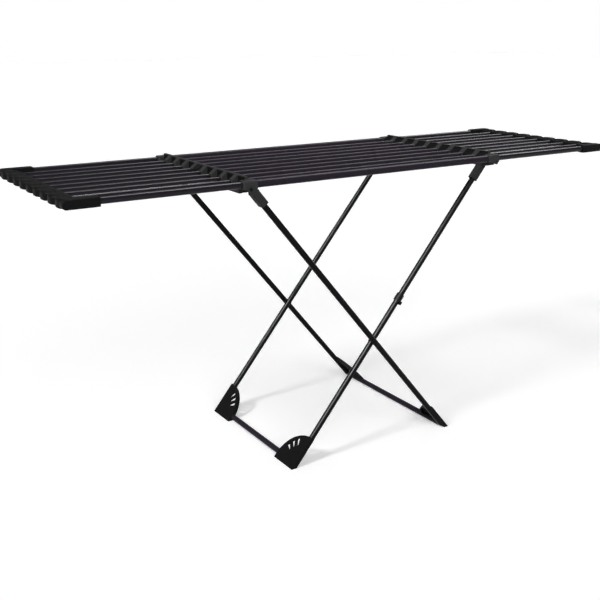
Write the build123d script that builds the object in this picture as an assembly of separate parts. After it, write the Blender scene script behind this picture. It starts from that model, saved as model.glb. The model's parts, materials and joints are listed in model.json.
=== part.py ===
from build123d import *
import math
import os

# Floor-standing clothes airer: a telescoping table of ten bars on two crossed leg frames.
# Millimetres. X runs along the bars, Y from the near side (-) to the far side (+), Z up from the floor.

# Driving sizes of the table
RAIL_HEIGHT = 940.0
BAR_PITCH = 64.5
INNER_BARS = 8
OVERALL_LENGTH = 2024.0
CROSSBAR_X = 470.0
WING_OVERLAP = 60.0

# Tubes
CENTRE_RAIL_OD = 23.0
CENTRE_ROD_OD = 14.0
WING_RAIL_OD = 19.5
WING_ROD_OD = 12.0
LEG_OD = 19.0
RAIL_WALL = 0.6
ROD_WALL = 0.5
LEG_WALL = 0.8

# Clearances
SEAT_GAP = 0.05
SLIDE_GAP = 0.2
GUIDE_GAP = 0.5
PIVOT_GAP = 0.1
HOOK_GAP = 0.4

# Crossbar moulding, one at each end of the centre section
CROSSBAR_BASE = 50.0
CROSSBAR_RIDGE = 7.0
CROSSBAR_DEPTH = 26.0
CROSSBAR_SHOULDER = 4.0
CROSSBAR_RISE = 22.0
COLLAR_WIDTH = 21.0
POCKET_DEPTH = 20.0
POCKET_FLOOR = -6.0
POCKET_LIP = 2.0
PANEL_RECESS = 1.8
CORE_WALL = 3.5
END_BLOCK_LENGTH = 48.0
END_BLOCK_ABOVE = 13.0
END_BLOCK_BELOW = 13.5
END_BLOCK_OUTSIDE = 14.75
END_BLOCK_INSIDE = 14.0
EDGE_ROUND = 4.0
CAP_DIAMETER = 20.0
CAP_HEIGHT = 3.0
CAP_SEAT = 4.0

# End bar moulding, one on each wing
END_BAR_WIDTH = 52.0
END_BAR_ABOVE = 13.0
END_BAR_BELOW = 14.0
END_BAR_DECK = 8.5
LOBE_LENGTH = 34.0
LOBE_WIDTH = 60.0
LOBE_ABOVE = 11.5
LOBE_TIP_ROUND = 24.0
LOBE_TOP_ROUND = 8.0
LOBE_UNDER_ROUND = 4.0
LOBE_SETBACK = 18.0
ARM_LENGTH = 102.0
ARM_ROUND = 12.0
ARM_EDGE_ROUND = 3.0
SOCKET_DEPTH = 30.0
ARM_SOCKET_DEPTH = 76.0

# Glide plugs on the inner ends of the wing tubes
PLUG_LENGTH = 15.0
PLUG_NOSE = 6.0

# Leg frames
LEG_SPREAD = 304.0
LEG_TOP_X = 473.5
INNER_LEG_Y = 258.0
OUTER_LEG_Y = 285.0
HINGE_DROP = 12.6
HINGE_PIN_D = 5.0
HINGE_PIN_REACH = 7.0
HINGE_HEAD_D = 11.0
HINGE_HEAD_H = 0.9
HINGE_HEAD_SINK = 0.2
HOOK_HEAD_R = 9.5
HOOK_PIN_SEAT = 4.0
CHEEK_RADIUS = 12.0
CHEEK_THICKNESS = 2.2
CHEEK_GAP = 0.25
EAR_RADIUS = 7.0
EAR_DEPTH = 9.0
BLIND_HOLE_X = 10.0
BLIND_HOLE_D = 10.0
BLIND_HOLE_DEPTH = 5.0
LEG_SOCKET = 24.5
HINGE_SOCKET_LENGTH = 69.0
HOOK_SOCKET_LENGTH = 79.0
LEG_SOCKET_NECK = 18.0
LEG_SOCKET_FLOOR = 11.0
LEG_SOCKET_ROUND = 4.0
LEG_NECK_WIDTH = 19.0
LEG_BAY_WALL = 11.0
LEG_BAY_HEADROOM = 2.5
LEG_BAY_GAP = 2.0

# Pivot where the two leg frames cross
RIVET_D = 6.0
RIVET_HEAD_D = 12.0
RIVET_HEAD_H = 2.2
SPACER_D = 15.0

# Corner feet
FOOT_RADIUS = 110.0
FOOT_HALF = 11.0
FOOT_FRONT = 10.5
FOOT_BACK = 4.0
FOOT_PLATE = 4.0
FOOT_RIM = 3.5
FOOT_TOE = 12.0
CROSS_TUBE_U = 14.0
LEG_TUBE_START = 16.0
CROSS_TUBE_INSET = 13.0
VENT_ANGLES = (31.0, 44.0, 57.0)
VENT_INNER = (78.0, 2.7)
VENT_OUTER = (96.0, 5.2)

# Clip that keeps the folded legs together
CLIP_ABOVE_PIVOT = 172.0
CLIP_LENGTH = 26.0
CLIP_WALL = 3.4
CLIP_NIB_LENGTH = 12.0
CLIP_NIB_DROP = 6.5
CLIP_NIB_REACH = 13.5
CLIP_NIB_WALL = 5.0

# Sizes worked out from the above
rail_y = BAR_PITCH * (INNER_BARS + 1) / 2
rod_ys = [rail_y - BAR_PITCH * (i + 1) for i in range(INNER_BARS)]
gap_ys = [rail_y - BAR_PITCH * (i + 0.5) for i in range(INNER_BARS + 1)]
end_x = OVERALL_LENGTH / 2
wing_inner_x = CROSSBAR_X - WING_OVERLAP
end_bar_inner_x = end_x - END_BAR_WIDTH
arm_inner_x = end_x - ARM_LENGTH
arm_outer_y = rail_y + END_BLOCK_OUTSIDE
arm_inner_y = rail_y - END_BLOCK_INSIDE
leg_angle = math.degrees(math.atan2(RAIL_HEIGHT, LEG_SPREAD + LEG_TOP_X))
leg_cos = math.cos(math.radians(leg_angle))
leg_sin = math.sin(math.radians(leg_angle))
hinge_z = RAIL_HEIGHT - HINGE_DROP
hinge_u = (CROSSBAR_X + LEG_SPREAD) * leg_cos + hinge_z * leg_sin
hinge_w = -(CROSSBAR_X + LEG_SPREAD) * leg_sin + hinge_z * leg_cos
pivot_u = LEG_SPREAD / leg_cos
bay_half = LEG_SOCKET / 2 + LEG_BAY_GAP
neck_u = hinge_u - LEG_SOCKET_NECK
leg_top_u = neck_u - LEG_SOCKET_FLOOR
cheek_y = arm_outer_y - CHEEK_THICKNESS
cheek_seat_y = cheek_y - CHEEK_GAP
hinge_head_y = arm_outer_y - HINGE_HEAD_SINK - HINGE_HEAD_H
hook_pin_y = INNER_LEG_Y - bay_half - HOOK_PIN_SEAT

# The plane of the inner leg frame: local X climbs the leg, local Z faces up and outwards
leg_plane = Plane(
    origin=(-LEG_SPREAD, 0, 0),
    x_dir=(leg_cos, 0, leg_sin),
    z_dir=(-leg_sin, 0, leg_cos),
)


def rod_x(x0, x1, y, z, radius):
    """A solid round bar along X."""
    return Pos((x0 + x1) / 2, y, z) * Rot(0, 90, 0) * Cylinder(radius, abs(x1 - x0))


def rod_y(x, y0, y1, z, radius):
    """A solid round bar along Y."""
    return Pos(x, (y0 + y1) / 2, z) * Rot(90, 0, 0) * Cylinder(radius, abs(y1 - y0))


def tube_x(x0, x1, y, z, diameter, wall):
    """A round tube along X."""
    return rod_x(x0, x1, y, z, diameter / 2) - rod_x(x0, x1, y, z, diameter / 2 - wall)


def block(x0, x1, y0, y1, z0, z1):
    """A box between two corners."""
    centre = ((x0 + x1) / 2, (y0 + y1) / 2, (z0 + z1) / 2)
    return Pos(*centre) * Box(abs(x1 - x0), abs(y1 - y0), abs(z1 - z0))


def prism_y(sketch, y0, y1):
    """Extrudes a sketch of X and Z values from y0 to y1."""
    return Pos(0, y1, 0) * extrude(Plane.XZ * sketch, amount=y1 - y0)


def both_sides(solid):
    """A solid and its mirror image across the middle of the airer."""
    return solid + mirror(solid, about=Plane.XZ)


def bores(x0, x1, rail_radius, rod_radius):
    """Cutters for all ten bars between two X values."""
    cutters = [rod_x(x0, x1, y, RAIL_HEIGHT, rod_radius) for y in rod_ys]
    cutters += [rod_x(x0, x1, y, RAIL_HEIGHT, rail_radius) for y in (-rail_y, rail_y)]
    return cutters


# Crossbar: a ridged beam with a collar on every bar, made for the right end and mirrored for the left

def crossbar_section():
    half, ridge = CROSSBAR_BASE / 2, CROSSBAR_RIDGE / 2
    corners = [
        (-half, -CROSSBAR_DEPTH),
        (half, -CROSSBAR_DEPTH),
        (half, CROSSBAR_SHOULDER),
        (ridge, CROSSBAR_RISE),
        (-ridge, CROSSBAR_RISE),
        (-half, CROSSBAR_SHOULDER),
    ]
    sketch = Polygon(*corners, align=None)
    return fillet(sketch.vertices(), PANEL_RECESS)


def crossbar_pocket():
    """The deep pocket between two collars on the outer slope."""
    half = CROSSBAR_BASE / 2
    x_inner = half - POCKET_DEPTH
    top = CROSSBAR_RISE - POCKET_LIP
    sketch = Polygon(
        (x_inner, POCKET_FLOOR), (half + 1, POCKET_FLOOR), (half + 1, top), (x_inner, top), align=None
    )
    return fillet(sketch.vertices(), PANEL_RECESS)


def crossbar_panel():
    """The shallow panel between two collars on the inner slope."""
    half, ridge = CROSSBAR_BASE / 2, CROSSBAR_RIDGE / 2
    return Polygon(
        (-half - 1, -CROSSBAR_DEPTH / 2),
        (-half + PANEL_RECESS, -CROSSBAR_DEPTH / 2),
        (-half + PANEL_RECESS, CROSSBAR_SHOULDER - 1),
        (-ridge, CROSSBAR_RISE - PANEL_RECESS * 2),
        (-ridge - POCKET_LIP, CROSSBAR_RISE),
        (-half - 1, CROSSBAR_RISE),
        align=None,
    )


def crossbar_core():
    """The hollow under one gap, open below."""
    half, ridge = CROSSBAR_BASE / 2 - CORE_WALL, CROSSBAR_RIDGE / 2
    pocket_back = CROSSBAR_BASE / 2 - POCKET_DEPTH - CORE_WALL
    return Polygon(
        (-half, -CROSSBAR_DEPTH - 1),
        (half, -CROSSBAR_DEPTH - 1),
        (half, POCKET_FLOOR - CORE_WALL),
        (pocket_back, POCKET_FLOOR - CORE_WALL),
        (pocket_back, CROSSBAR_RISE - 2 * CORE_WALL),
        (-ridge + CORE_WALL, CROSSBAR_RISE - 2 * CORE_WALL),
        (-half, CROSSBAR_SHOULDER - CORE_WALL),
        align=None,
    )


def cheek_sketch(gap):
    """The flat cheek of an outer leg's socket, from its sleeve to its head about the hinge, in the leg plane."""
    root = Pos(neck_u - 1, 0) * Rectangle(2, LEG_SOCKET + 2 * gap)
    head = Pos(hinge_u, hinge_w) * Circle(CHEEK_RADIUS + gap)
    return make_hull(root.edges() + head.edges())


def ear(x, outer_y):
    """The lug under an end block."""
    root = Pos(x, RAIL_HEIGHT) * Rectangle(2 * EAR_RADIUS, END_BLOCK_ABOVE)
    tip = Pos(x, hinge_z) * Circle(EAR_RADIUS)
    return prism_y(make_hull(root.edges() + tip.edges()), arm_outer_y - EAR_DEPTH, outer_y)


def end_block(hinged):
    """The block that holds an outer rail: with a seat for the leg's cheek, or with a blind hole instead."""
    body = block(
        CROSSBAR_X - END_BLOCK_LENGTH / 2,
        CROSSBAR_X + END_BLOCK_LENGTH / 2,
        arm_inner_y,
        arm_outer_y,
        RAIL_HEIGHT - END_BLOCK_BELOW,
        RAIL_HEIGHT + END_BLOCK_ABOVE,
    )
    body = fillet(body.edges(), EDGE_ROUND)
    if hinged:
        seat = Location(leg_plane) * prism_y(cheek_sketch(CHEEK_GAP), cheek_seat_y, arm_outer_y + 1)
        return body - seat + ear(CROSSBAR_X, cheek_seat_y)
    hole_x = CROSSBAR_X + BLIND_HOLE_X
    hole = rod_y(hole_x, arm_outer_y - BLIND_HOLE_DEPTH, arm_outer_y + 1, hinge_z, BLIND_HOLE_D / 2)
    return body + ear(hole_x, arm_outer_y) - hole


def leg_bay(hinged):
    """Room under the crossbar for a leg's top, open below and towards the middle."""
    inner_x = CROSSBAR_X - CROSSBAR_BASE
    outer_x = CROSSBAR_X + CROSSBAR_BASE / 2 - LEG_BAY_WALL
    below = RAIL_HEIGHT - CROSSBAR_DEPTH - 1
    if hinged:
        above = RAIL_HEIGHT - END_BLOCK_BELOW
        return block(inner_x, outer_x, OUTER_LEG_Y - bay_half, arm_outer_y, below, above)
    above = hinge_z + HOOK_HEAD_R + LEG_BAY_HEADROOM
    return block(inner_x, outer_x, INNER_LEG_Y - bay_half, INNER_LEG_Y + bay_half, below, above)


def pin_seat(hinged):
    """The hole for the pin that a leg's top turns or hooks on."""
    radius = HINGE_PIN_D / 2 + SEAT_GAP
    if hinged:
        return rod_y(CROSSBAR_X, arm_outer_y - HINGE_PIN_REACH, arm_outer_y, hinge_z, radius)
    return rod_y(CROSSBAR_X, hook_pin_y, arm_inner_y, hinge_z, radius)


def make_crossbar(hinged):
    at_rail = Pos(CROSSBAR_X, RAIL_HEIGHT)
    body_half = arm_inner_y + 1
    body = prism_y(at_rail * crossbar_section(), -body_half, body_half)
    open_half = (BAR_PITCH - COLLAR_WIDTH) / 2
    for y in gap_ys:
        body -= prism_y(at_rail * crossbar_panel(), y - open_half, y + open_half)
        if abs(y) > 1:
            body -= prism_y(at_rail * crossbar_pocket(), y - open_half, y + open_half)
        if 1 < abs(y) < INNER_LEG_Y - bay_half:
            body -= prism_y(at_rail * crossbar_core(), y - open_half, y + open_half)
    body -= both_sides(leg_bay(hinged))
    body += both_sides(end_block(hinged))
    seat_in = CROSSBAR_X - CROSSBAR_BASE
    seat_out = CROSSBAR_X + CROSSBAR_BASE
    body -= bores(seat_in, CROSSBAR_X, CENTRE_RAIL_OD / 2 + SEAT_GAP, CENTRE_ROD_OD / 2 + SEAT_GAP)
    body -= bores(CROSSBAR_X - 1, seat_out, WING_RAIL_OD / 2 + GUIDE_GAP, WING_ROD_OD / 2 + GUIDE_GAP)
    body -= both_sides(pin_seat(hinged))
    return body - cap_pin(SEAT_GAP)


def cap_frame():
    """The middle of the outer slope, facing out of it."""
    rise = CROSSBAR_RISE - CROSSBAR_SHOULDER
    run = (CROSSBAR_BASE - CROSSBAR_RIDGE) / 2
    middle = (CROSSBAR_X + CROSSBAR_BASE / 2 - run / 2, 0, RAIL_HEIGHT + CROSSBAR_SHOULDER + rise / 2)
    return Plane(origin=middle, x_dir=(0, 1, 0), z_dir=(rise, 0, run))


def cap_pin(gap):
    """The cap's spigot, or its seat when there is a gap round it."""
    spigot = Cylinder(CAP_DIAMETER / 4 + gap, CAP_SEAT + gap, align=(Align.CENTER, Align.CENTER, Align.MAX))
    return Location(cap_frame()) * spigot


def make_cap():
    disc = Cylinder(CAP_DIAMETER / 2, CAP_HEIGHT, align=(Align.CENTER, Align.CENTER, Align.MIN))
    disc = fillet(disc.edges().sort_by(Axis.Z)[-1], CAP_HEIGHT / 2)
    return Location(cap_frame()) * disc + cap_pin(0)


# Wing: ten thinner tubes that run in the centre tubes, closed by a lobed end bar

def end_bar_deck():
    """The beam that takes the rods' outer ends."""
    deck = block(
        end_bar_inner_x,
        end_x - LOBE_SETBACK,
        -rail_y,
        rail_y,
        RAIL_HEIGHT - END_BAR_BELOW,
        RAIL_HEIGHT + END_BAR_DECK,
    )
    return fillet(deck.edges().filter_by(Axis.Y), ARM_EDGE_ROUND)


def end_bar_lobe(y):
    """One fingertip-shaped lobe over the gap between two bars."""
    lobe = block(
        end_x - LOBE_LENGTH,
        end_x,
        y - LOBE_WIDTH / 2,
        y + LOBE_WIDTH / 2,
        RAIL_HEIGHT - END_BAR_BELOW,
        RAIL_HEIGHT + LOBE_ABOVE,
    )
    lobe = fillet(lobe.edges().filter_by(Axis.Z).group_by(Axis.X)[-1], LOBE_TIP_ROUND)
    lobe = fillet(lobe.faces().sort_by(Axis.Z)[-1].edges().sort_by(Axis.X)[1:], LOBE_TOP_ROUND)
    return fillet(lobe.faces().sort_by(Axis.Z)[0].edges().sort_by(Axis.X)[1:], LOBE_UNDER_ROUND)


def end_bar_arm():
    """The sleeve on an outer rail, round at its outer end."""
    corners = [
        (arm_inner_x, END_BAR_ABOVE),
        (arm_inner_x, -END_BAR_BELOW),
        (end_x, -END_BAR_BELOW),
        (end_x, END_BAR_ABOVE),
    ]
    sketch = Pos(0, RAIL_HEIGHT) * Polygon(*corners, align=None)
    sketch = fillet(sketch.vertices().group_by(Axis.X)[-1], ARM_ROUND)
    arm = prism_y(sketch, arm_inner_y, arm_outer_y)
    return fillet(arm.edges(), ARM_EDGE_ROUND)


def end_bar_core(y):
    """The hollow under one lobe, open below."""
    half = (BAR_PITCH - COLLAR_WIDTH) / 2
    return block(
        end_bar_inner_x + CORE_WALL,
        end_x - LOBE_SETBACK,
        y - half,
        y + half,
        RAIL_HEIGHT - END_BAR_BELOW - 1,
        RAIL_HEIGHT + END_BAR_DECK - CORE_WALL,
    )


def make_end_bar():
    bar = end_bar_deck()
    for y in gap_ys:
        bar += end_bar_lobe(y)
    bar += both_sides(end_bar_arm())
    for y in gap_ys[1:-1]:
        bar -= end_bar_core(y)
    rod_seat = WING_ROD_OD / 2 + SEAT_GAP
    for y in rod_ys:
        bar -= rod_x(end_bar_inner_x - 1, end_bar_inner_x + SOCKET_DEPTH, y, RAIL_HEIGHT, rod_seat)
    rail_seat = WING_RAIL_OD / 2 + SEAT_GAP
    seat = rod_x(arm_inner_x - 1, arm_inner_x + ARM_SOCKET_DEPTH, rail_y, RAIL_HEIGHT, rail_seat)
    return bar - both_sides(seat)


def make_plug(y, wing_diameter, centre_diameter, wall):
    """A nose on a wing tube's inner end that glides in the centre tube, on a spigot in the wing tube."""
    nose_r = centre_diameter / 2 - wall - SLIDE_GAP
    spigot_r = wing_diameter / 2 - wall - SEAT_GAP
    nose = rod_x(wing_inner_x - PLUG_NOSE, wing_inner_x - SEAT_GAP, y, RAIL_HEIGHT, nose_r)
    return nose + rod_x(wing_inner_x - PLUG_NOSE, wing_inner_x + PLUG_LENGTH, y, RAIL_HEIGHT, spigot_r)


def make_wing():
    parts = {}
    rail_end = arm_inner_x + ARM_SOCKET_DEPTH
    rod_end = end_bar_inner_x + SOCKET_DEPTH
    for side, y in (("near", -rail_y), ("far", rail_y)):
        parts[f"wing_rail_{side}"] = tube_x(wing_inner_x, rail_end, y, RAIL_HEIGHT, WING_RAIL_OD, RAIL_WALL)
    for i, y in enumerate(reversed(rod_ys), 1):
        parts[f"wing_rod_{i}"] = tube_x(wing_inner_x, rod_end, y, RAIL_HEIGHT, WING_ROD_OD, ROD_WALL)
    parts["wing_end_bar"] = make_end_bar()
    plugs = [make_plug(y, WING_ROD_OD, CENTRE_ROD_OD, ROD_WALL) for y in rod_ys]
    plugs += [make_plug(y, WING_RAIL_OD, CENTRE_RAIL_OD, RAIL_WALL) for y in (-rail_y, rail_y)]
    parts["wing_glide_plugs"] = Compound(children=plugs)
    return parts


# Leg frames, drawn in the leg plane: X is the distance up the leg, Z is out of the plane

def make_leg_tube(y):
    tube = tube_x(LEG_TUBE_START, leg_top_u, y, 0, LEG_OD, LEG_WALL)
    reach = math.copysign(LEG_OD, y)
    gap = PIVOT_GAP if abs(y) == INNER_LEG_Y else SEAT_GAP
    return tube - rod_y(pivot_u, y - reach, y + reach, 0, RIVET_D / 2 + gap)


def make_cross_tube(leg_y):
    half = leg_y - CROSS_TUBE_INSET
    outer = rod_y(CROSS_TUBE_U, -half, half, 0, LEG_OD / 2)
    return outer - rod_y(CROSS_TUBE_U, -half, half, 0, LEG_OD / 2 - LEG_WALL)


def foot_sketch(leg_y, u_high=FOOT_RADIUS, reach=FOOT_RADIUS):
    """The quarter disc of a corner foot, or a strip of it along the leg or the cross tube."""
    corner_y = leg_y + FOOT_HALF
    width = u_high + FOOT_TOE
    window = Pos(u_high - width / 2, corner_y - reach / 2) * Rectangle(width, reach)
    return (Pos(0, corner_y) * Circle(FOOT_RADIUS)) & window


def foot_vent(leg_y, angle):
    """One slot of the fan, wider towards the rim."""
    ends = []
    for distance, radius in (VENT_INNER, VENT_OUTER):
        u = distance * math.cos(math.radians(angle))
        y = leg_y + FOOT_HALF - distance * math.sin(math.radians(angle))
        ends += (Pos(u, y) * Circle(radius)).edges()
    return extrude(make_hull(ends), amount=FOOT_FRONT + 1)


def make_foot(leg_y):
    thickness = FOOT_FRONT + FOOT_BACK
    plate = Pos(0, 0, FOOT_FRONT - FOOT_PLATE) * extrude(foot_sketch(leg_y), amount=FOOT_PLATE)
    rim_sketch = foot_sketch(leg_y) - Pos(0, leg_y + FOOT_HALF) * Circle(FOOT_RADIUS - FOOT_RIM)
    sleeve_sketch = foot_sketch(leg_y, reach=2 * FOOT_HALF)
    sleeve_sketch += foot_sketch(leg_y, u_high=CROSS_TUBE_U + FOOT_HALF)
    foot = plate + Pos(0, 0, -FOOT_BACK) * extrude(sleeve_sketch + rim_sketch, amount=thickness)
    for angle in VENT_ANGLES:
        foot -= foot_vent(leg_y, angle)
    seat = LEG_OD / 2 + SEAT_GAP
    foot -= rod_x(LEG_TUBE_START, FOOT_RADIUS * 2, leg_y, 0, seat)
    return foot - rod_y(CROSS_TUBE_U, leg_y - CROSS_TUBE_INSET, leg_y - FOOT_RADIUS * 2, 0, seat)


def stand_flat(foot):
    """Cuts a placed foot level with the floor."""
    span = OVERALL_LENGTH
    return foot - block(-span, span, -span, span, -span, 0)


def socket_sleeve(leg_y, outer_y, length):
    """The sleeve on the top of a leg."""
    half = LEG_SOCKET / 2
    sleeve = block(hinge_u - length, neck_u, leg_y - half, outer_y, -half, half)
    sleeve = fillet(sleeve.edges().filter_by(Axis.X), LEG_SOCKET_ROUND)
    return sleeve - rod_x(hinge_u - length - 1, leg_top_u, leg_y, 0, LEG_OD / 2 + SEAT_GAP)


def make_hinge_socket(leg_y):
    """The outer leg's socket: its cheek lies in the end block's seat and turns on the hinge pin."""
    socket = socket_sleeve(leg_y, arm_outer_y, HINGE_SOCKET_LENGTH)
    socket += prism_y(cheek_sketch(0), cheek_y, arm_outer_y)
    socket -= rod_y(hinge_u, cheek_y - 1, arm_outer_y, hinge_w, HINGE_PIN_D / 2 + PIVOT_GAP)
    head_seat = rod_y(
        hinge_u, hinge_head_y - PIVOT_GAP, arm_outer_y + 1, hinge_w, HINGE_HEAD_D / 2 + PIVOT_GAP
    )
    return socket - head_seat


def make_hook_socket(leg_y):
    """The inner leg's socket: a hook that opens outwards, away from the other leg."""
    radius = HINGE_PIN_D / 2 + HOOK_GAP
    mouth = Circle(radius) + Pos(HOOK_HEAD_R, 0) * Rectangle(2 * HOOK_HEAD_R, 2 * radius)
    mouth = Pos(hinge_u, hinge_w) * Rot(0, 0, -leg_angle) * mouth
    root = Pos(neck_u - 1, 0) * Rectangle(2, LEG_NECK_WIDTH)
    head = Pos(hinge_u, hinge_w) * Circle(HOOK_HEAD_R)
    neck_half = LEG_NECK_WIDTH / 2
    neck = prism_y(make_hull(root.edges() + head.edges()), leg_y - neck_half, leg_y + neck_half)
    socket = socket_sleeve(leg_y, leg_y + LEG_SOCKET / 2, HOOK_SOCKET_LENGTH) + neck
    return socket - prism_y(mouth, leg_y - LEG_SOCKET, leg_y + LEG_SOCKET)


def make_clip():
    """A ring on the near inner leg with a nib that catches the outer leg when folded."""
    middle = pivot_u + CLIP_ABOVE_PIVOT
    ring_r = LEG_OD / 2 + CLIP_WALL
    low_u = middle - CLIP_LENGTH / 2
    clip = rod_x(low_u, low_u + CLIP_LENGTH, -INNER_LEG_Y, 0, ring_r)
    nib_u = low_u - CLIP_NIB_DROP
    clip += block(
        nib_u,
        nib_u + CLIP_NIB_LENGTH,
        -INNER_LEG_Y - CLIP_NIB_REACH,
        -INNER_LEG_Y,
        -ring_r,
        -ring_r + CLIP_NIB_WALL,
    )
    return clip - rod_x(nib_u - 1, low_u + CLIP_LENGTH + 1, -INNER_LEG_Y, 0, LEG_OD / 2 + SEAT_GAP)


def make_leg_frame(leg_y, make_socket):
    """One leg frame, placed as the inner one stands: foot at the left, top at the right."""
    place = Location(leg_plane)
    foot = stand_flat(place * make_foot(leg_y))
    socket = place * make_socket(leg_y)
    return {
        "leg_near": place * make_leg_tube(-leg_y),
        "leg_far": place * make_leg_tube(leg_y),
        "cross_tube": place * make_cross_tube(leg_y),
        "foot_near": mirror(foot, about=Plane.XZ),
        "foot_far": foot,
        "socket_near": mirror(socket, about=Plane.XZ),
        "socket_far": socket,
    }


# Pins and rivets, in pairs

def pair(solid):
    """Two separate solids, one on each side of the airer."""
    return Compound(children=[mirror(solid, about=Plane.XZ), solid])


def make_hinge_pin():
    """The headed pin in a left end block, which holds the outer leg's cheek."""
    pin = rod_y(-CROSSBAR_X, arm_outer_y - HINGE_PIN_REACH, hinge_head_y, hinge_z, HINGE_PIN_D / 2)
    return pin + rod_y(-CROSSBAR_X, hinge_head_y, hinge_head_y + HINGE_HEAD_H, hinge_z, HINGE_HEAD_D / 2)


def make_hook_pin():
    """The bar across a bay of the right crossbar, on which the inner leg hooks."""
    return rod_y(CROSSBAR_X, hook_pin_y, arm_inner_y, hinge_z, HINGE_PIN_D / 2)


def make_rivet():
    """The pivot through both leg tubes."""
    pivot_z = pivot_u * leg_sin
    inside = INNER_LEG_Y - LEG_OD / 2 - SLIDE_GAP
    outside = OUTER_LEG_Y + LEG_OD / 2
    rivet = rod_y(0, inside, outside, pivot_z, RIVET_D / 2)
    for y0, y1 in ((outside, outside + RIVET_HEAD_H), (inside - RIVET_HEAD_H, inside)):
        rivet += rod_y(0, y0, y1, pivot_z, RIVET_HEAD_D / 2)
    tips = rivet.edges().filter_by(GeomType.CIRCLE).sort_by(Axis.Y)
    return fillet([tips[0], tips[-1]], RIVET_HEAD_H * 0.6)


def make_spacer():
    """The washer that keeps the two legs apart at the pivot."""
    pivot_z = pivot_u * leg_sin
    y0 = INNER_LEG_Y + LEG_OD / 2 + SLIDE_GAP
    y1 = OUTER_LEG_Y - LEG_OD / 2 - SEAT_GAP
    return rod_y(0, y0, y1, pivot_z, SPACER_D / 2) - rod_y(0, y0, y1, pivot_z, RIVET_D / 2 + SEAT_GAP)


def make_all():
    nodes = {}
    for side, y in (("near", -rail_y), ("far", rail_y)):
        nodes[f"centre_rail_{side}"] = tube_x(
            -CROSSBAR_X, CROSSBAR_X, y, RAIL_HEIGHT, CENTRE_RAIL_OD, RAIL_WALL
        )
    for i, y in enumerate(reversed(rod_ys), 1):
        nodes[f"centre_rod_{i}"] = tube_x(
            -CROSSBAR_X, CROSSBAR_X, y, RAIL_HEIGHT, CENTRE_ROD_OD, ROD_WALL
        )
    nodes["right_crossbar"] = make_crossbar(hinged=False)
    nodes["left_crossbar"] = mirror(make_crossbar(hinged=True), about=Plane.YZ)
    ends = {"crossbar_cap": make_cap(), **make_wing()}
    for name, solid in ends.items():
        nodes[f"right_{name}"] = solid
        nodes[f"left_{name}"] = mirror(solid, about=Plane.YZ)
    for name, solid in make_leg_frame(INNER_LEG_Y, make_hook_socket).items():
        nodes[f"inner_{name}"] = solid
    for name, solid in make_leg_frame(OUTER_LEG_Y, make_hinge_socket).items():
        nodes[f"outer_{name}"] = mirror(solid, about=Plane.YZ)
    nodes["folding_clip"] = Location(leg_plane) * make_clip()
    nodes["hinge_pins"] = pair(make_hinge_pin())
    nodes["hook_pins"] = pair(make_hook_pin())
    nodes["scissor_rivets"] = pair(make_rivet())
    nodes["scissor_spacers"] = pair(make_spacer())
    return nodes


os.makedirs("parts", exist_ok=True)
for node, solid in make_all().items():
    export_step(solid, f"parts/{node}.step")
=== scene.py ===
"""Looks for a floor-standing clothes airer: black telescoping bars on two crossed leg frames.

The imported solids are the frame. This script gives them their finishes and adds short guide
sleeves round the bars, the floor, the light and the camera.
"""

import json
import math

import bpy
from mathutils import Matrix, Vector


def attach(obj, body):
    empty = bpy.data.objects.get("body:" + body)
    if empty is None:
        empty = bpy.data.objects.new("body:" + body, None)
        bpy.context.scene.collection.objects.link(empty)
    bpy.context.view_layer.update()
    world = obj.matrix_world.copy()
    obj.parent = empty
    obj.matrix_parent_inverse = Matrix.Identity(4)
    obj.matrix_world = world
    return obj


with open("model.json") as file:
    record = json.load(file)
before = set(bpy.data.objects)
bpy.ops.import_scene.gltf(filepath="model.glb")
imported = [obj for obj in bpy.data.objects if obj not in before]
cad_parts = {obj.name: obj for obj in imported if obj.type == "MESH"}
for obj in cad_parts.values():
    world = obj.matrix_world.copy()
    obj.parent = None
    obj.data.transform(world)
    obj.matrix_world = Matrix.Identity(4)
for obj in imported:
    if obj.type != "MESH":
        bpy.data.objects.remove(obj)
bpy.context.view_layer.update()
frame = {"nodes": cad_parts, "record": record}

# The photograph's camera, worked out from the bars, the feet and the leg crossings
IMAGE_SIZE = 600
CAMERA_PLACE = (-1.6998, -2.4935, 1.3842)
CAMERA_YAW = 32.855
CAMERA_PITCH = 13.971
FOCAL_PIXELS = 901.58
CENTRE_PIXEL = (305.97, 247.03)
SENSOR_WIDTH = 36.0

# Colours
BAR_COLOUR = (0.023, 0.0182, 0.0265)
WING_COLOUR = (0.015, 0.0118, 0.0172)
LEG_COLOUR = (0.0048, 0.0040, 0.0056)
MOULDING_COLOUR = (0.038, 0.038, 0.039)
# Crossbar ribs, and a darker panel colour that is painted shade in the recesses between them
RIB_COLOUR = (0.045, 0.045, 0.0455)
PANEL_SHADE_COLOUR = (0.008, 0.008, 0.0084)
BLACK_COLOUR = (0.0085, 0.0085, 0.0091)
TRIM_COLOUR = (0.006, 0.006, 0.006)
PIN_COLOUR = (0.004, 0.004, 0.0045)

# Each surface: grain scale, lowest and highest roughness, bump strength and specular level
BAR_SURFACE = (900, 0.24, 0.32, 0.05, 0.05)
WING_SURFACE = (900, 0.14, 0.20, 0.02, 0.14)
LEG_SURFACE = (900, 0.15, 0.19, 0.01, 0.06)
MOULDED_SURFACE = (1400, 0.45, 0.58, 0.25, 0.03)
TRIM_SURFACE = (1200, 0.40, 0.50, 0.15, 0.08)
PIN_SURFACE = (900, 0.30, 0.40, 0.05, 0.08)

# Surface grain, and the broad faint patches in which the gloss varies
GRAIN_DETAIL = 2
GRAIN_DEPTH = 0.0002
PATCH_SCALE = 14
PATCH_DETAIL = 3

# The bars
BAR_PITCH = 0.0645
BAR_HEIGHT = 0.94
INNER_BARS = 8
OUTER_RAILS = 2
ROD_RADIUS = 0.006
RAIL_RADIUS = 0.00975
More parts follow.
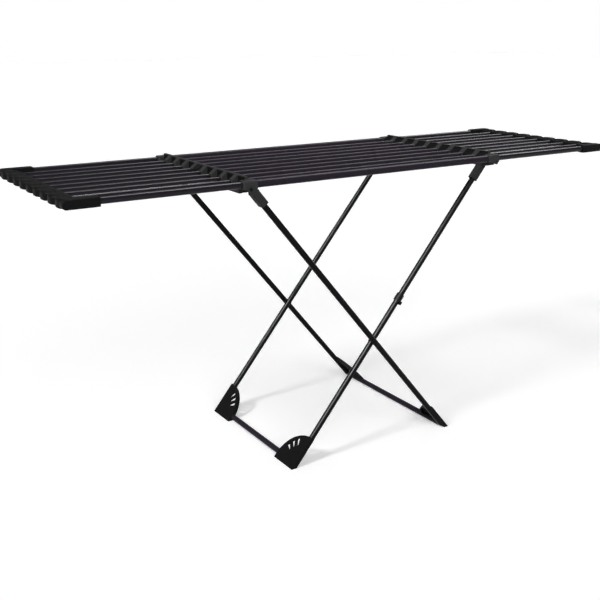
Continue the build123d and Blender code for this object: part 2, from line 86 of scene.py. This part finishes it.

# Painted shade: darker panels between the bars, on the slopes of the crossbars, where the recesses
# there fall in shade
PANEL_HALF_WIDTH = 0.0215
PANEL_EDGE = 0.0006
PANEL_BOTTOM = 0.938
PANEL_TOP = 0.9598
PANEL_LAST = 0.276

# Guide sleeves round the bars, where they leave the two crossbars
SLEEVE_FACE = 0.4968
SLEEVE_LENGTH = 0.010
SLEEVE_WALL = 0.0018
SLEEVE_GAP = 0.0003
SLEEVE_EDGE_ROUND = SLEEVE_WALL * 0.35
SLEEVE_EDGE_STEPS = 3
SLEEVE_SIDES = 64

# Each lamp: the direction it shines from, its strength and its angular size in degrees
KEY_LAMP = ((-0.72, -0.14, 0.68), 1.5, 12.0)
FRONT_BOX = ((-0.20, -0.84, 0.50), 1.6, 40.0)
LEFT_STRIP = ((-0.66, -0.30, 0.69), 9.0, 20.0)
RIGHT_STRIP = ((0.54, 0.24, 0.80), 2.8, 36.0)

# The world fills the shadows. Reflections see it white up to a low height, and darker above
FILL_STRENGTH = 0.22
WHITE_STRENGTH = 1
STUDIO_STRENGTH = 0.10
SWEEP_FADE_START = 0.02
SWEEP_FADE_END = 0.22
WHITE = (1, 1, 1, 1)

# The floor is white to the camera and to reflections, and throws less light on the object
FLOOR_SEEN = (0.95, 0.95, 0.95)
FLOOR_BOUNCE = (0.30, 0.30, 0.30)
FLOOR_LIFT = 0.265
FLOOR_SIZE = 60.0


def new_material(name):
    """A new node material, with its nodes, its links and its main shader."""
    material = bpy.data.materials.new(name)
    material.use_nodes = True
    nodes = material.node_tree.nodes
    return material, nodes, material.node_tree.links, nodes["Principled BSDF"]


def feed(links, socket, value):
    """Sets a socket to a number, or links another socket to it."""
    if isinstance(value, bpy.types.NodeSocket):
        links.new(value, socket)
    else:
        socket.default_value = value


def calculate(nodes, links, operation, *values):
    """The result of a maths node. Each value is a number or a socket."""
    sum_node = nodes.new("ShaderNodeMath")
    sum_node.operation = operation
    for socket, value in zip(sum_node.inputs, values):
        feed(links, socket, value)
    return sum_node.outputs["Value"]


def mix_colours(nodes, links, mask, first, second):
    """The first colour where the mask is 0, the second where it is 1."""
    mix = nodes.new("ShaderNodeMix")
    mix.data_type = "RGBA"
    mix.inputs["A"].default_value = (*first, 1)
    mix.inputs["B"].default_value = (*second, 1)
    links.new(mask, mix.inputs["Factor"])
    return mix.outputs["Result"]


def soft_edge(nodes, links, value, place, before, after):
    """Steps smoothly from one level to another where the value passes a place."""
    step = nodes.new("ShaderNodeMapRange")
    step.interpolation_type = "SMOOTHSTEP"
    step.inputs["From Min"].default_value = place - PANEL_EDGE
    step.inputs["From Max"].default_value = place + PANEL_EDGE
    step.inputs["To Min"].default_value = before
    step.inputs["To Max"].default_value = after
    links.new(value, step.inputs["Value"])
    return step.outputs["Result"]


def grain_group():
    """A fine moulded or sprayed surface: an uneven height and a slightly uneven gloss."""
    group = bpy.data.node_groups.new("surface_grain", "ShaderNodeTree")
    for name in ("Grain scale", "Roughness low", "Roughness high"):
        group.interface.new_socket(name, in_out="INPUT", socket_type="NodeSocketFloat")
    for name in ("Height", "Roughness"):
        group.interface.new_socket(name, in_out="OUTPUT", socket_type="NodeSocketFloat")
    nodes = group.nodes
    links = group.links
    entry = nodes.new("NodeGroupInput")
    leave = nodes.new("NodeGroupOutput")
    coords = nodes.new("ShaderNodeTexCoord")
    fine = nodes.new("ShaderNodeTexNoise")
    fine.inputs["Detail"].default_value = GRAIN_DETAIL
    broad = nodes.new("ShaderNodeTexNoise")
    broad.inputs["Scale"].default_value = PATCH_SCALE
    broad.inputs["Detail"].default_value = PATCH_DETAIL
    spread = nodes.new("ShaderNodeMapRange")
    links.new(coords.outputs["Object"], fine.inputs["Vector"])
    links.new(coords.outputs["Object"], broad.inputs["Vector"])
    links.new(entry.outputs["Grain scale"], fine.inputs["Scale"])
    links.new(broad.outputs["Fac"], spread.inputs["Value"])
    links.new(entry.outputs["Roughness low"], spread.inputs["To Min"])
    links.new(entry.outputs["Roughness high"], spread.inputs["To Max"])
    links.new(fine.outputs["Fac"], leave.inputs["Height"])
    links.new(spread.outputs["Result"], leave.inputs["Roughness"])
    return group


surface_grain = grain_group()


def finish_material(name, colour, surface):
    """A plain coloured finish with the shared grain."""
    grain_scale, lowest_roughness, highest_roughness, bump, specular = surface
    material, nodes, links, shader = new_material(name)
    shader.inputs["Base Color"].default_value = (*colour, 1)
    shader.inputs["Specular IOR Level"].default_value = specular
    grain = nodes.new("ShaderNodeGroup")
    grain.node_tree = surface_grain
    grain.inputs["Grain scale"].default_value = grain_scale
    grain.inputs["Roughness low"].default_value = lowest_roughness
    grain.inputs["Roughness high"].default_value = highest_roughness
    raised = nodes.new("ShaderNodeBump")
    raised.inputs["Strength"].default_value = bump
    raised.inputs["Distance"].default_value = GRAIN_DEPTH
    links.new(grain.outputs["Height"], raised.inputs["Height"])
    links.new(raised.outputs["Normal"], shader.inputs["Normal"])
    links.new(grain.outputs["Roughness"], shader.inputs["Roughness"])
    return material


def crossbar_material(name, rib_colour, panel_shade_colour, surface):
    """The moulded finish with painted shade: darker panels on the slopes between the bars, where the
    recesses fall in shade.
    """
    material = finish_material(name, rib_colour, surface)
    nodes = material.node_tree.nodes
    links = material.node_tree.links
    coords = nodes.new("ShaderNodeTexCoord")
    place = nodes.new("ShaderNodeSeparateXYZ")
    links.new(coords.outputs["Object"], place.inputs["Vector"])
    height = place.outputs["Z"]
    across = calculate(nodes, links, "ABSOLUTE", place.outputs["Y"])
    from_middle = calculate(nodes, links, "PINGPONG", across, BAR_PITCH / 2)
    mask = soft_edge(nodes, links, from_middle, PANEL_HALF_WIDTH, 1, 0)
    for value, limit, before, after in (
        (height, PANEL_BOTTOM, 0, 1),
        (height, PANEL_TOP, 1, 0),
        (across, PANEL_LAST, 1, 0),
    ):
        inside = soft_edge(nodes, links, value, limit, before, after)
        mask = calculate(nodes, links, "MULTIPLY", mask, inside)
    # Painted shade: the darker panel colour where the mask is 1, in the recesses between the bars
    tone = mix_colours(nodes, links, mask, rib_colour, panel_shade_colour)
    links.new(tone, nodes["Principled BSDF"].inputs["Base Color"])
    return material


finishes = {
    "bar_paint": finish_material("bar paint", BAR_COLOUR, BAR_SURFACE),
    "leg_paint": finish_material("leg paint", LEG_COLOUR, LEG_SURFACE),
    "moulding_plastic": finish_material("moulded plastic", MOULDING_COLOUR, MOULDED_SURFACE),
    "trim_plastic": finish_material("trim plastic", TRIM_COLOUR, TRIM_SURFACE),
    "pin_steel": finish_material("black pins", PIN_COLOUR, PIN_SURFACE),
}
wing_paint = finish_material("glossy wing paint", WING_COLOUR, WING_SURFACE)
crossbar_plastic_with_shade = crossbar_material("crossbar plastic with painted shade", RIB_COLOUR, PANEL_SHADE_COLOUR, MOULDED_SURFACE)
black_plastic = finish_material("black moulded plastic", BLACK_COLOUR, MOULDED_SURFACE)


def finish_of(node, slot):
    """The slot's finish, apart from the pieces that look different from the others of their slot."""
    if "_foot_" in node or node.endswith("_end_bar"):
        return black_plastic
    if node.endswith("_crossbar"):
        return crossbar_plastic_with_shade
    if "_wing_rail" in node or "_wing_rod" in node:
        return wing_paint
    if node.endswith("_cross_tube"):
        return finishes["bar_paint"]
    return finishes[slot]


def paint_solids():
    """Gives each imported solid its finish."""
    for part in frame["record"]["subparts"]:
        materials = frame["nodes"][part["node"]].data.materials
        materials.clear()
        materials.append(finish_of(part["node"], part["material_slot"]))


def guide_sleeve_tree():
    """Short sleeves in rows across the bars, repeated on the second crossbar."""
    tree = bpy.data.node_groups.new("guide_sleeves", "GeometryNodeTree")
    sockets = tree.interface
    for name in ("First rod", "Rod step", "First rail", "Rail step", "Second crossbar"):
        sockets.new_socket(name, in_out="INPUT", socket_type="NodeSocketVector")
    for name in ("Rod sleeve", "Rail sleeve", "Wall", "Length", "Edge round"):
        sockets.new_socket(name, in_out="INPUT", socket_type="NodeSocketFloat")
    for name in ("Rods", "Rails"):
        sockets.new_socket(name, in_out="INPUT", socket_type="NodeSocketInt")
    sockets.new_socket("Finish", in_out="INPUT", socket_type="NodeSocketMaterial")
    sockets.new_socket("Sleeves", in_out="OUTPUT", socket_type="NodeSocketGeometry")
    nodes = tree.nodes
    links = tree.links
    entry = nodes.new("NodeGroupInput")
    leave = nodes.new("NodeGroupOutput")
    section = nodes.new("GeometryNodeCurvePrimitiveQuadrilateral")
    links.new(entry.outputs["Wall"], section.inputs["Width"])
    links.new(entry.outputs["Length"], section.inputs["Height"])
    rounded = nodes.new("GeometryNodeFilletCurve")
    rounded.mode = "POLY"
    rounded.inputs["Count"].default_value = SLEEVE_EDGE_STEPS
    links.new(section.outputs["Curve"], rounded.inputs["Curve"])
    links.new(entry.outputs["Edge round"], rounded.inputs["Radius"])
    both_rows = nodes.new("GeometryNodeJoinGeometry")
    for start, step, radius, count in (
        ("First rod", "Rod step", "Rod sleeve", "Rods"),
        ("First rail", "Rail step", "Rail sleeve", "Rails"),
    ):
        ring = nodes.new("GeometryNodeCurvePrimitiveCircle")
        ring.inputs["Resolution"].default_value = SLEEVE_SIDES
        sleeve = nodes.new("GeometryNodeCurveToMesh")
        turned = nodes.new("GeometryNodeTransform")
        turned.inputs["Rotation"].default_value = (0, math.radians(90), 0)
        places = nodes.new("GeometryNodeMeshLine")
        row = nodes.new("GeometryNodeInstanceOnPoints")
        links.new(entry.outputs[radius], ring.inputs["Radius"])
        links.new(ring.outputs["Curve"], sleeve.inputs["Curve"])
        links.new(rounded.outputs["Curve"], sleeve.inputs["Profile Curve"])
        links.new(sleeve.outputs["Mesh"], turned.inputs["Geometry"])
        links.new(entry.outputs[count], places.inputs["Count"])
        links.new(entry.outputs[start], places.inputs["Start Location"])
        links.new(entry.outputs[step], places.inputs["Offset"])
        links.new(places.outputs["Mesh"], row.inputs["Points"])
        links.new(turned.outputs["Geometry"], row.inputs["Instance"])
        links.new(row.outputs["Instances"], both_rows.inputs["Geometry"])
    moved = nodes.new("GeometryNodeTransform")
    links.new(both_rows.outputs["Geometry"], moved.inputs["Geometry"])
    links.new(entry.outputs["Second crossbar"], moved.inputs["Translation"])
    all_sleeves = nodes.new("GeometryNodeJoinGeometry")
    links.new(both_rows.outputs["Geometry"], all_sleeves.inputs["Geometry"])
    links.new(moved.outputs["Geometry"], all_sleeves.inputs["Geometry"])
    real = nodes.new("GeometryNodeRealizeInstances")
    painted = nodes.new("GeometryNodeSetMaterial")
    links.new(all_sleeves.outputs["Geometry"], real.inputs["Geometry"])
    links.new(real.outputs["Geometry"], painted.inputs["Geometry"])
    links.new(entry.outputs["Finish"], painted.inputs["Material"])
    links.new(painted.outputs["Geometry"], leave.inputs["Sleeves"])
    return tree


def make_guide_sleeves():
    """The sleeves round all ten bars of both wings, as one piece on the top frame."""
    tree = guide_sleeve_tree()
    rail_y = BAR_PITCH * (INNER_BARS + 1) / 2
    rod_y = BAR_PITCH * (INNER_BARS - 1) / 2
    centre = SLEEVE_FACE - SLEEVE_LENGTH / 2
    values = {
        "First rod": (-centre, -rod_y, BAR_HEIGHT),
        "Rod step": (0, BAR_PITCH, 0),
        "First rail": (-centre, -rail_y, BAR_HEIGHT),
        "Rail step": (0, 2 * rail_y, 0),
        "Second crossbar": (2 * centre, 0, 0),
        "Rod sleeve": ROD_RADIUS + SLEEVE_GAP + SLEEVE_WALL / 2,
        "Rail sleeve": RAIL_RADIUS + SLEEVE_GAP + SLEEVE_WALL / 2,
        "Wall": SLEEVE_WALL,
        "Length": SLEEVE_LENGTH,
        "Edge round": SLEEVE_EDGE_ROUND,
        "Rods": INNER_BARS,
        "Rails": OUTER_RAILS,
        "Finish": finishes["trim_plastic"],
    }
    sleeves = bpy.data.objects.new("guide_sleeves", bpy.data.meshes.new("guide_sleeves"))
    bpy.context.scene.collection.objects.link(sleeves)
    modifier = sleeves.modifiers.new("guide sleeves", "NODES")
    modifier.node_group = tree
    for socket in tree.interface.items_tree:
        if socket.in_out == "INPUT":
            modifier[socket.identifier] = values[socket.name]
    shaped = sleeves.evaluated_get(bpy.context.evaluated_depsgraph_get())
    baked = bpy.data.meshes.new_from_object(shaped)
    sleeves.modifiers.clear()
    sleeves.data = baked
    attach(sleeves, "top_frame")


def camera_or_mirror(nodes, links):
    """1 for rays from the camera and for those that reflections and glass send on."""
    path = nodes.new("ShaderNodeLightPath")
    seen = path.outputs["Is Camera Ray"]
    for ray in ("Is Glossy Ray", "Is Transmission Ray"):
        seen = calculate(nodes, links, "MAXIMUM", seen, path.outputs[ray])
    return seen


def make_floor():
    """A pale floor that reads as white to the camera and still takes the shadows."""
    bpy.ops.mesh.primitive_plane_add(size=FLOOR_SIZE)
    floor = bpy.context.object
    floor.name = "floor"
    material, nodes, links, shader = new_material("pale floor")
    shader.inputs["Roughness"].default_value = 1
    shader.inputs["Specular IOR Level"].default_value = 0
    shader.inputs["Emission Color"].default_value = WHITE
    seen = camera_or_mirror(nodes, links)
    tone = mix_colours(nodes, links, seen, FLOOR_BOUNCE, FLOOR_SEEN)
    links.new(tone, shader.inputs["Base Color"])
    lift = calculate(nodes, links, "MULTIPLY", seen, FLOOR_LIFT)
    links.new(lift, shader.inputs["Emission Strength"])
    floor.data.materials.append(material)


def make_lamp(name, lamp):
    """A far lamp that shines from a direction."""
    direction, strength, softness = lamp
    sun = bpy.data.lights.new(name, "SUN")
    sun.energy = strength
    sun.angle = math.radians(softness)
    holder = bpy.data.objects.new(name, sun)
    holder.rotation_euler = Vector(direction).to_track_quat("Z", "Y").to_euler()
    bpy.context.scene.collection.objects.link(holder)
    return holder


def make_lamps():
    """A key lamp from the left, a broad one from the front, and two strips that only gloss shows."""
    make_lamp("left key", KEY_LAMP)
    make_lamp("front soft box", FRONT_BOX)
    for name, lamp in (("left strip", LEFT_STRIP), ("right strip", RIGHT_STRIP)):
        make_lamp(name, lamp).visible_diffuse = False


def make_world():
    """A white surround for the camera, which fills the shadows with less light."""
    world = bpy.data.worlds.new("studio")
    bpy.context.scene.world = world
    world.use_nodes = True
    nodes = world.node_tree.nodes
    links = world.node_tree.links
    path = nodes.new("ShaderNodeLightPath")
    direction = nodes.new("ShaderNodeTexCoord")
    height = nodes.new("ShaderNodeSeparateXYZ")
    sweep = nodes.new("ShaderNodeMapRange")
    sweep.inputs["From Min"].default_value = SWEEP_FADE_START
    sweep.inputs["From Max"].default_value = SWEEP_FADE_END
    sweep.inputs["To Min"].default_value = WHITE_STRENGTH
    sweep.inputs["To Max"].default_value = STUDIO_STRENGTH
    links.new(direction.outputs["Generated"], height.inputs["Vector"])
    links.new(height.outputs["Z"], sweep.inputs["Value"])
    strength = FILL_STRENGTH
    for ray, level in (
        ("Is Glossy Ray", sweep.outputs["Result"]),
        ("Is Camera Ray", WHITE_STRENGTH),
        ("Is Transmission Ray", WHITE_STRENGTH),
    ):
        pick = nodes.new("ShaderNodeMix")
        links.new(path.outputs[ray], pick.inputs["Factor"])
        feed(links, pick.inputs["A"], strength)
        feed(links, pick.inputs["B"], level)
        strength = pick.outputs["Result"]
    nodes["Background"].inputs["Color"].default_value = WHITE
    links.new(strength, nodes["Background"].inputs["Strength"])


def make_camera():
    """The photograph's view."""
    lens = bpy.data.cameras.new("camera")
    lens.sensor_width = SENSOR_WIDTH
    lens.lens = FOCAL_PIXELS / IMAGE_SIZE * SENSOR_WIDTH
    lens.shift_x = (IMAGE_SIZE / 2 - CENTRE_PIXEL[0]) / IMAGE_SIZE
    lens.shift_y = (CENTRE_PIXEL[1] - IMAGE_SIZE / 2) / IMAGE_SIZE
    camera = bpy.data.objects.new("camera", lens)
    camera.location = CAMERA_PLACE
    camera.rotation_euler = (math.radians(90 - CAMERA_PITCH), 0, math.radians(-CAMERA_YAW))
    bpy.context.scene.collection.objects.link(camera)
    bpy.context.scene.camera = camera


paint_solids()
make_guide_sleeves()
make_floor()
make_lamps()
make_world()
make_camera()
bpy.context.scene.view_settings.view_transform = "Standard"
